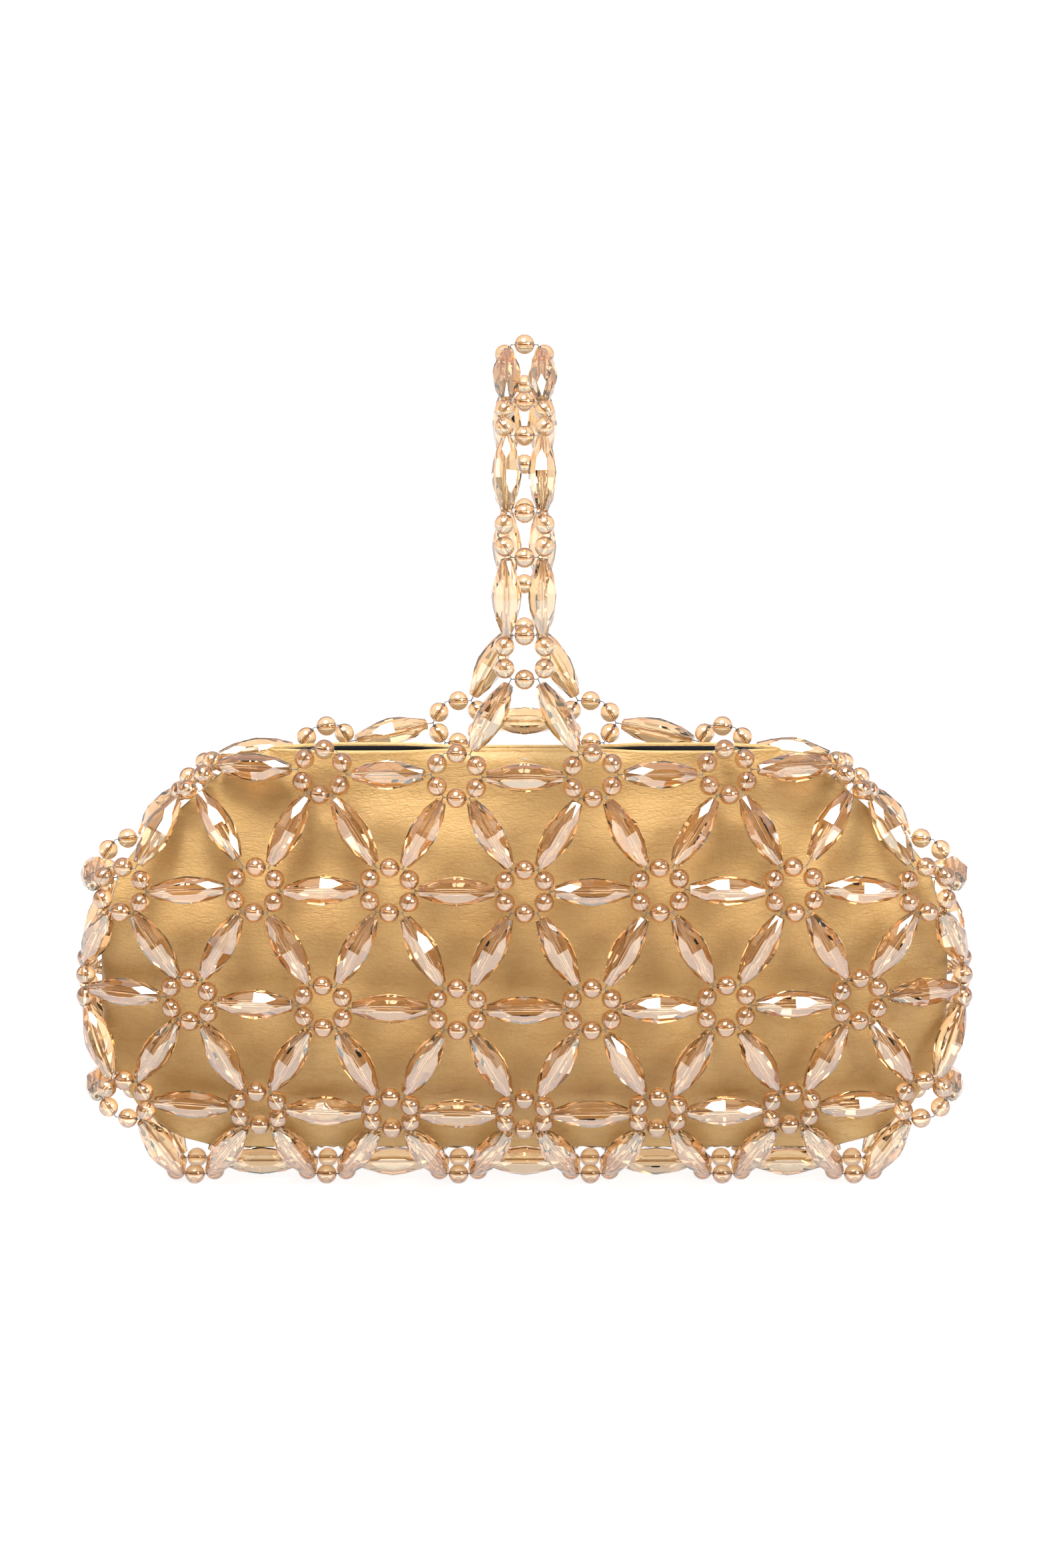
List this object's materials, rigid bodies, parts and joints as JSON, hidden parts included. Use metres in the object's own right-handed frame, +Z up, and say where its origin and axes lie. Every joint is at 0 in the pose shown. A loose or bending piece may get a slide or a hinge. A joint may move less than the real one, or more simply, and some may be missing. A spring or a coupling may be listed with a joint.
{
  "type": "evening bag",
  "caption": "Small evening bag: open net of round and long faceted glass beads around a soft leather pouch, with a beaded ladder handle running from front to back.",
  "frame": {"origin": "bottom centre of the bag, level with the beads that it stands on", "axes": "+Z up; +X along the width of the bag; the front faces -Y"},
  "size_m": [0.271, 0.0718, 0.259],
  "materials": {
    "round_bead": "clear champagne glass with a thin lustre coat",
    "long_bead": "faceted champagne glass with a thin lustre coat",
    "thread": "clear nylon line",
    "leather": "soft fine-grained tan leather, slightly creased",
    "lining": "black woven lining",
    "snap": "plated magnetic snap"
  },
  "bodies": {
    "net_and_pouch": {"rim_rings_front": "round_bead", "rim_rings_back": "round_bead", "rim_end_rings": "round_bead", "upper_rings_front": "round_bead", "upper_rings_back": "round_bead", "middle_rings_front": "round_bead", "middle_rings_back": "round_bead", "side_rings": "round_bead", "lower_rings_front": "round_bead", "lower_rings_back": "round_bead", "base_rings": "round_bead", "rim_bars_front": "long_bead", "rim_bars_back": "long_bead", "rim_diagonals_front": "long_bead", "rim_diagonals_back": "long_bead", "upper_bars_front": "long_bead", "upper_bars_back": "long_bead", "upper_diagonals_front": "long_bead", "upper_diagonals_back": "long_bead", "middle_bars_front": "long_bead", "middle_bars_back": "long_bead", "lower_diagonals_front": "long_bead", "lower_diagonals_back": "long_bead", "lower_bars_front": "long_bead", "lower_bars_back": "long_bead", "base_diagonals_front": "long_bead", "base_diagonals_back": "long_bead", "side_bars": "long_bead", "base_bars": "long_bead", "net_thread_front": "thread", "net_thread_back": "thread", "net_thread_base": "thread", "pouch_front": "leather", "pouch_back": "leather", "lining_front": "lining", "lining_back": "lining"},
    "front_strand": {"front_legs": "long_bead", "front_strand_rings": "round_bead", "front_strand_bars": "long_bead", "front_strand_thread": "thread"},
    "crown": {"crown_rings": "round_bead", "crown_bars": "long_bead", "crown_thread": "thread"},
    "back_strand": {"back_legs": "long_bead", "back_strand_rings": "round_bead", "back_strand_bars": "long_bead", "back_strand_thread": "thread"},
    "front_lip": {"lip_front": "leather", "lip_lining_front": "lining", "snap_stud": "snap", "snap_washer_front": "snap"},
    "back_lip": {"lip_back": "leather", "lip_lining_back": "lining", "snap_socket": "snap", "snap_washer_back": "snap"}
  },
  "joints": [
    {"name": "handle_lean", "type": "hinge", "parent": "net_and_pouch", "child": "front_strand", "pos_m": [0, -0.026, 0.1441], "axis": [1, 0, 0], "range_deg": [-30, 30]},
    {"name": "crown_level", "type": "hinge", "parent": "front_strand", "child": "crown", "pos_m": [0, -0.026, 0.2047], "axis": [1, 0, 0], "range_deg": [-30, 30]},
    {"name": "back_lean", "type": "hinge", "parent": "net_and_pouch", "child": "back_strand", "pos_m": [0, 0.026, 0.1441], "axis": [1, 0, 0], "range_deg": [-30, 30]},
    {"name": "mouth_open", "type": "hinge", "parent": "net_and_pouch", "child": "front_lip", "pos_m": [0, -0.0112, 0.108], "axis": [1, 0, 0], "range_deg": [0, 4]},
    {"name": "back_lip_open", "type": "hinge", "parent": "net_and_pouch", "child": "back_lip", "pos_m": [0, 0.0112, 0.108], "axis": [1, 0, 0], "range_deg": [-4, 0]}
  ],
  "couplings": [
    {"joint": "crown_level", "follows": "handle_lean", "ratio": -1},
    {"joint": "back_lean", "follows": "handle_lean", "ratio": 1},
    {"joint": "back_lip_open", "follows": "mouth_open", "ratio": -1}
  ]
}
